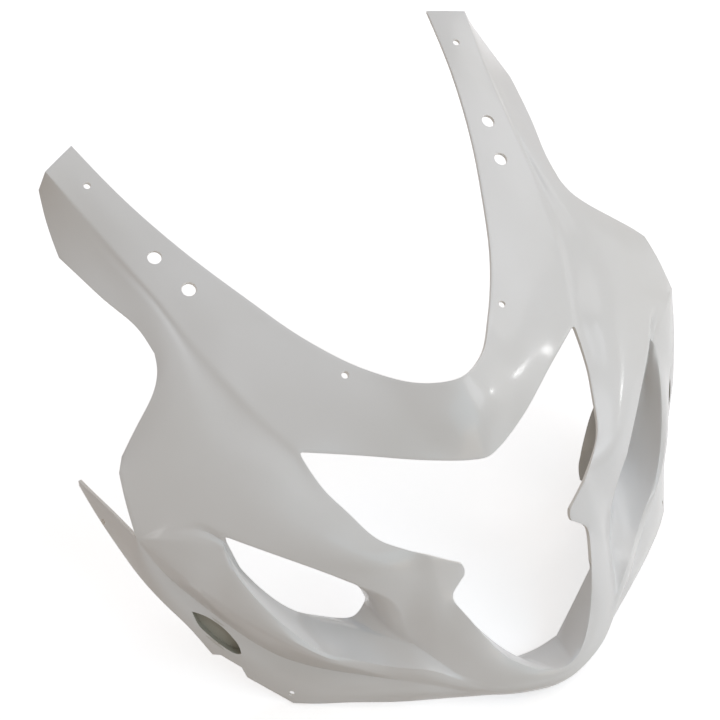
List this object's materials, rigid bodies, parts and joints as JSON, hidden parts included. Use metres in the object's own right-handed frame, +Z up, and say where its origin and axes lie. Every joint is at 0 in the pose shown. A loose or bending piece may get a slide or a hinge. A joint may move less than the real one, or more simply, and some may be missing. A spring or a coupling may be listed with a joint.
{
  "type": "motorcycle fairing",
  "caption": "One-piece upper front fairing for a sport motorcycle: a thin moulded nose shell with headlight opening, side intakes and two windscreen arms.",
  "frame": {"origin": "middle of the part's bounding box, on its symmetry plane", "axes": "+X to the viewer's right with the nose facing the viewer, -Y towards the nose, +Z up, as mounted"},
  "size_m": [0.586, 0.4954, 0.3357],
  "materials": {
    "shell": "gloss, bare white moulding"
  },
  "bodies": {
    "root": {"fairing_shell": "shell"}
  },
  "joints": []
}
